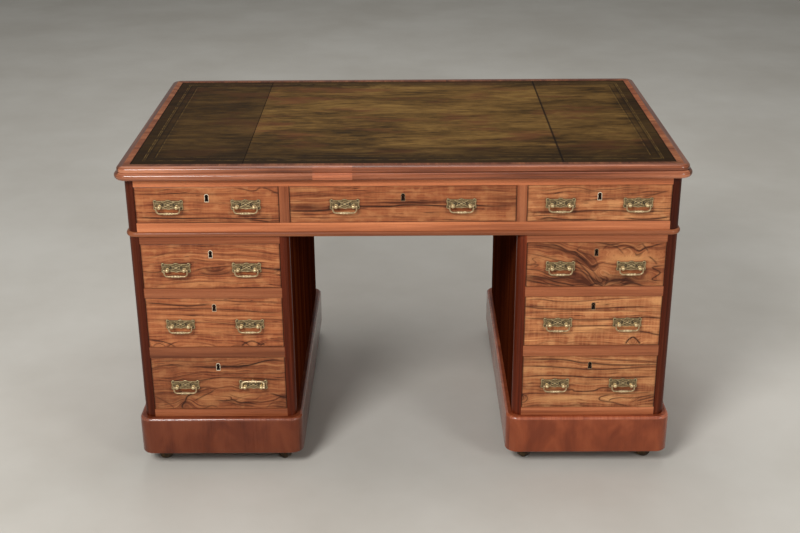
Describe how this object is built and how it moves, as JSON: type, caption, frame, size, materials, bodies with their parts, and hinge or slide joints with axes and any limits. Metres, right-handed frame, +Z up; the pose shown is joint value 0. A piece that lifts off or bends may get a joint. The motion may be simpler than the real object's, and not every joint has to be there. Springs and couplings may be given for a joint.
{
  "type": "pedestal desk",
  "caption": "Pedestal desk with a leather-lined top, frieze drawers, two pedestals of drawers on moulded plinths, swinging bail handles and concealed castors.",
  "frame": {"origin": "on the floor, under the middle of the desk", "axes": "+X to the sitter's right, +Y towards the back, +Z up; the drawers open towards -Y"},
  "size_m": [1.29, 0.8, 0.77],
  "materials": {
    "drawer_walnut": "figured walnut veneer, waxed",
    "carcase_walnut": "plain walnut, waxed",
    "top_walnut": "walnut, waxed and worn on its edges",
    "plinth_walnut": "walnut veneer, waxed",
    "tooled_leather": "worn tooled hide, semi-gloss",
    "handle_brass": "cast brass, aged",
    "castor_brass": "dark aged brass"
  },
  "bodies": {
    "desk": {"desk_top": "top_walnut", "leather_skins": "tooled_leather", "frieze_carcase": "carcase_walnut", "left_pedestal": "carcase_walnut", "right_pedestal": "carcase_walnut", "left_plinth": "plinth_walnut", "right_plinth": "plinth_walnut", "castor_plates": "castor_brass"},
    "frieze_left_drawer": {"frieze_left_drawer": "drawer_walnut", "frieze_left_drawer_brasses": "handle_brass"},
    "frieze_left_drawer_left_bail": {"frieze_left_drawer_left_bail": "handle_brass"},
    "frieze_left_drawer_right_bail": {"frieze_left_drawer_right_bail": "handle_brass"},
    "frieze_centre_drawer": {"frieze_centre_drawer": "drawer_walnut", "frieze_centre_drawer_brasses": "handle_brass"},
    "frieze_centre_drawer_left_bail": {"frieze_centre_drawer_left_bail": "handle_brass"},
    "frieze_centre_drawer_right_bail": {"frieze_centre_drawer_right_bail": "handle_brass"},
    "frieze_right_drawer": {"frieze_right_drawer": "drawer_walnut", "frieze_right_drawer_brasses": "handle_brass"},
    "frieze_right_drawer_left_bail": {"frieze_right_drawer_left_bail": "handle_brass"},
    "frieze_right_drawer_right_bail": {"frieze_right_drawer_right_bail": "handle_brass"},
    "left_top_drawer": {"left_top_drawer": "drawer_walnut", "left_top_drawer_brasses": "handle_brass"},
    "left_top_drawer_left_bail": {"left_top_drawer_left_bail": "handle_brass"},
    "left_top_drawer_right_bail": {"left_top_drawer_right_bail": "handle_brass"},
    "left_middle_drawer": {"left_middle_drawer": "drawer_walnut", "left_middle_drawer_brasses": "handle_brass"},
    "left_middle_drawer_left_bail": {"left_middle_drawer_left_bail": "handle_brass"},
    "left_middle_drawer_right_bail": {"left_middle_drawer_right_bail": "handle_brass"},
    "left_bottom_drawer": {"left_bottom_drawer": "drawer_walnut", "left_bottom_drawer_brasses": "handle_brass"},
    "left_bottom_drawer_left_bail": {"left_bottom_drawer_left_bail": "handle_brass"},
    "left_bottom_drawer_right_bail": {"left_bottom_drawer_right_bail": "handle_brass"},
    "right_top_drawer": {"right_top_drawer": "drawer_walnut", "right_top_drawer_brasses": "handle_brass"},
    "right_top_drawer_left_bail": {"right_top_drawer_left_bail": "handle_brass"},
    "right_top_drawer_right_bail": {"right_top_drawer_right_bail": "handle_brass"},
    "right_middle_drawer": {"right_middle_drawer": "drawer_walnut", "right_middle_drawer_brasses": "handle_brass"},
    "right_middle_drawer_left_bail": {"right_middle_drawer_left_bail": "handle_brass"},
    "right_middle_drawer_right_bail": {"right_middle_drawer_right_bail": "handle_brass"},
    "right_bottom_drawer": {"right_bottom_drawer": "drawer_walnut", "right_bottom_drawer_brasses": "handle_brass"},
    "right_bottom_drawer_left_bail": {"right_bottom_drawer_left_bail": "handle_brass"},
    "right_bottom_drawer_right_bail": {"right_bottom_drawer_right_bail": "handle_brass"},
    "left_front_outer_fork": {"left_front_outer_fork": "castor_brass"},
    "left_front_outer_wheel": {"left_front_outer_wheel": "castor_brass"},
    "left_front_inner_fork": {"left_front_inner_fork": "castor_brass"},
    "left_front_inner_wheel": {"left_front_inner_wheel": "castor_brass"},
    "left_back_outer_fork": {"left_back_outer_fork": "castor_brass"},
    "left_back_outer_wheel": {"left_back_outer_wheel": "castor_brass"},
    "left_back_inner_fork": {"left_back_inner_fork": "castor_brass"},
    "left_back_inner_wheel": {"left_back_inner_wheel": "castor_brass"},
    "right_front_outer_fork": {"right_front_outer_fork": "castor_brass"},
    "right_front_outer_wheel": {"right_front_outer_wheel": "castor_brass"},
    "right_front_inner_fork": {"right_front_inner_fork": "castor_brass"},
    "right_front_inner_wheel": {"right_front_inner_wheel": "castor_brass"},
    "right_back_outer_fork": {"right_back_outer_fork": "castor_brass"},
    "right_back_outer_wheel": {"right_back_outer_wheel": "castor_brass"},
    "right_back_inner_fork": {"right_back_inner_fork": "castor_brass"},
    "right_back_inner_wheel": {"right_back_inner_wheel": "castor_brass"}
  },
  "joints": [
    {"name": "frieze_left_drawer_slide", "type": "slide", "parent": "desk", "child": "frieze_left_drawer", "axis": [0, -1, 0], "range_m": [0, 0.5]},
    {"name": "frieze_left_drawer_left_bail_swing", "type": "hinge", "parent": "frieze_left_drawer", "child": "frieze_left_drawer_left_bail", "pos_m": [-0.5275, -0.3895, 0.6755], "axis": [-1, 0, 0], "range_deg": [-18, 193]},
    {"name": "frieze_left_drawer_right_bail_swing", "type": "hinge", "parent": "frieze_left_drawer", "child": "frieze_left_drawer_right_bail", "pos_m": [-0.3535, -0.3895, 0.6755], "axis": [-1, 0, 0], "range_deg": [-18, 193]},
    {"name": "frieze_centre_drawer_slide", "type": "slide", "parent": "desk", "child": "frieze_centre_drawer", "axis": [0, -1, 0], "range_m": [0, 0.5]},
    {"name": "frieze_centre_drawer_left_bail_swing", "type": "hinge", "parent": "frieze_centre_drawer", "child": "frieze_centre_drawer_left_bail", "pos_m": [-0.131, -0.3895, 0.6755], "axis": [-1, 0, 0], "range_deg": [-18, 193]},
    {"name": "frieze_centre_drawer_right_bail_swing", "type": "hinge", "parent": "frieze_centre_drawer", "child": "frieze_centre_drawer_right_bail", "pos_m": [0.131, -0.3895, 0.6755], "axis": [-1, 0, 0], "range_deg": [-18, 193]},
    {"name": "frieze_right_drawer_slide", "type": "slide", "parent": "desk", "child": "frieze_right_drawer", "axis": [0, -1, 0], "range_m": [0, 0.5]},
    {"name": "frieze_right_drawer_left_bail_swing", "type": "hinge", "parent": "frieze_right_drawer", "child": "frieze_right_drawer_left_bail", "pos_m": [0.3535, -0.3895, 0.6755], "axis": [-1, 0, 0], "range_deg": [-18, 193]},
    {"name": "frieze_right_drawer_right_bail_swing", "type": "hinge", "parent": "frieze_right_drawer", "child": "frieze_right_drawer_right_bail", "pos_m": [0.5275, -0.3895, 0.6755], "axis": [-1, 0, 0], "range_deg": [-18, 193]},
    {"name": "left_top_drawer_slide", "type": "slide", "parent": "desk", "child": "left_top_drawer", "axis": [0, -1, 0], "range_m": [0, 0.5]},
    {"name": "left_top_drawer_left_bail_swing", "type": "hinge", "parent": "left_top_drawer", "child": "left_top_drawer_left_bail", "pos_m": [-0.5215, -0.3895, 0.52225], "axis": [-1, 0, 0], "range_deg": [-18, 193]},
    {"name": "left_top_drawer_right_bail_swing", "type": "hinge", "parent": "left_top_drawer", "child": "left_top_drawer_right_bail", "pos_m": [-0.3595, -0.3895, 0.52225], "axis": [-1, 0, 0], "range_deg": [-18, 193]},
    {"name": "left_middle_drawer_slide", "type": "slide", "parent": "desk", "child": "left_middle_drawer", "axis": [0, -1, 0], "range_m": [0, 0.5]},
    {"name": "left_middle_drawer_left_bail_swing", "type": "hinge", "parent": "left_middle_drawer", "child": "left_middle_drawer_left_bail", "pos_m": [-0.5215, -0.3895, 0.3795], "axis": [-1, 0, 0], "range_deg": [-18, 193]},
    {"name": "left_middle_drawer_right_bail_swing", "type": "hinge", "parent": "left_middle_drawer", "child": "left_middle_drawer_right_bail", "pos_m": [-0.3595, -0.3895, 0.3795], "axis": [-1, 0, 0], "range_deg": [-18, 193]},
    {"name": "left_bottom_drawer_slide", "type": "slide", "parent": "desk", "child": "left_bottom_drawer", "axis": [0, -1, 0], "range_m": [0, 0.5]},
    {"name": "left_bottom_drawer_left_bail_swing", "type": "hinge", "parent": "left_bottom_drawer", "child": "left_bottom_drawer_left_bail", "pos_m": [-0.5215, -0.3895, 0.21975], "axis": [-1, 0, 0], "range_deg": [-18, 193]},
    {"name": "left_bottom_drawer_right_bail_swing", "type": "hinge", "parent": "left_bottom_drawer", "child": "left_bottom_drawer_right_bail", "pos_m": [-0.3595, -0.3895, 0.21975], "axis": [-1, 0, 0], "range_deg": [-211, 0]},
    {"name": "right_top_drawer_slide", "type": "slide", "parent": "desk", "child": "right_top_drawer", "axis": [0, -1, 0], "range_m": [0, 0.5]},
    {"name": "right_top_drawer_left_bail_swing", "type": "hinge", "parent": "right_top_drawer", "child": "right_top_drawer_left_bail", "pos_m": [0.3595, -0.3895, 0.52225], "axis": [-1, 0, 0], "range_deg": [-18, 193]},
    {"name": "right_top_drawer_right_bail_swing", "type": "hinge", "parent": "right_top_drawer", "child": "right_top_drawer_right_bail", "pos_m": [0.5215, -0.3895, 0.52225], "axis": [-1, 0, 0], "range_deg": [-18, 193]},
    {"name": "right_middle_drawer_slide", "type": "slide", "parent": "desk", "child": "right_middle_drawer", "axis": [0, -1, 0], "range_m": [0, 0.5]},
    {"name": "right_middle_drawer_left_bail_swing", "type": "hinge", "parent": "right_middle_drawer", "child": "right_middle_drawer_left_bail", "pos_m": [0.3595, -0.3895, 0.3795], "axis": [-1, 0, 0], "range_deg": [-18, 193]},
    {"name": "right_middle_drawer_right_bail_swing", "type": "hinge", "parent": "right_middle_drawer", "child": "right_middle_drawer_right_bail", "pos_m": [0.5215, -0.3895, 0.3795], "axis": [-1, 0, 0], "range_deg": [-18, 193]},
    {"name": "right_bottom_drawer_slide", "type": "slide", "parent": "desk", "child": "right_bottom_drawer", "axis": [0, -1, 0], "range_m": [0, 0.5]},
    {"name": "right_bottom_drawer_left_bail_swing", "type": "hinge", "parent": "right_bottom_drawer", "child": "right_bottom_drawer_left_bail", "pos_m": [0.3595, -0.3895, 0.21975], "axis": [-1, 0, 0], "range_deg": [-18, 193]},
    {"name": "right_bottom_drawer_right_bail_swing", "type": "hinge", "parent": "right_bottom_drawer", "child": "right_bottom_drawer_right_bail", "pos_m": [0.5215, -0.3895, 0.21975], "axis": [-1, 0, 0], "range_deg": [-18, 193]},
    {"name": "left_front_outer_swivel", "type": "hinge", "parent": "desk", "child": "left_front_outer_fork", "pos_m": [-0.579, -0.334, 0.05], "axis": [0, 0, 1], "continuous": true},
    {"name": "left_front_outer_spin", "type": "hinge", "parent": "left_front_outer_fork", "child": "left_front_outer_wheel", "pos_m": [-0.58988, -0.33907, 0.019], "axis": [0.4226, -0.9063, 0], "continuous": true},
    {"name": "left_front_inner_swivel", "type": "hinge", "parent": "desk", "child": "left_front_inner_fork", "pos_m": [-0.306, -0.334, 0.05], "axis": [0, 0, 1], "continuous": true},
    {"name": "left_front_inner_spin", "type": "hinge", "parent": "left_front_inner_fork", "child": "left_front_inner_wheel", "pos_m": [-0.29681, -0.34171, 0.019], "axis": [0.6428, 0.766, 0], "continuous": true},
    {"name": "left_back_outer_swivel", "type": "hinge", "parent": "desk", "child": "left_back_outer_fork", "pos_m": [-0.579, 0.334, 0.05], "axis": [0, 0, 1], "continuous": true},
    {"name": "left_back_outer_spin", "type": "hinge", "parent": "left_back_outer_fork", "child": "left_back_outer_wheel", "pos_m": [-0.57589, 0.34559, 0.019], "axis": [-0.9659, 0.2588, 0], "continuous": true},
    {"name": "left_back_inner_swivel", "type": "hinge", "parent": "desk", "child": "left_back_inner_fork", "pos_m": [-0.306, 0.334, 0.05], "axis": [0, 0, 1], "continuous": true},
    {"name": "left_back_inner_spin", "type": "hinge", "parent": "left_back_inner_fork", "child": "left_back_inner_wheel", "pos_m": [-0.31728, 0.3381, 0.019], "axis": [-0.342, -0.9397, 0], "continuous": true},
    {"name": "right_front_outer_swivel", "type": "hinge", "parent": "desk", "child": "right_front_outer_fork", "pos_m": [0.579, -0.334, 0.05], "axis": [0, 0, 1], "continuous": true},
    {"name": "right_front_outer_spin", "type": "hinge", "parent": "right_front_outer_fork", "child": "right_front_outer_wheel", "pos_m": [0.59028, -0.3381, 0.019], "axis": [0.342, 0.9397, 0], "continuous": true},
    {"name": "right_front_inner_swivel", "type": "hinge", "parent": "desk", "child": "right_front_inner_fork", "pos_m": [0.306, -0.334, 0.05], "axis": [0, 0, 1], "continuous": true},
    {"name": "right_front_inner_spin", "type": "hinge", "parent": "right_front_inner_fork", "child": "right_front_inner_wheel", "pos_m": [0.29617, -0.34088, 0.019], "axis": [0.5736, -0.8192, 0], "continuous": true},
    {"name": "right_back_outer_swivel", "type": "hinge", "parent": "desk", "child": "right_back_outer_fork", "pos_m": [0.579, 0.334, 0.05], "axis": [0, 0, 1], "continuous": true},
    {"name": "right_back_outer_spin", "type": "hinge", "parent": "right_back_outer_fork", "child": "right_back_outer_wheel", "pos_m": [0.5749, 0.34528, 0.019], "axis": [-0.9397, -0.342, 0], "continuous": true},
    {"name": "right_back_inner_swivel", "type": "hinge", "parent": "desk", "child": "right_back_inner_fork", "pos_m": [0.306, 0.334, 0.05], "axis": [0, 0, 1], "continuous": true},
    {"name": "right_back_inner_spin", "type": "hinge", "parent": "right_back_inner_fork", "child": "right_back_inner_wheel", "pos_m": [0.31639, 0.34, 0.019], "axis": [-0.5, 0.866, 0], "continuous": true}
  ]
}
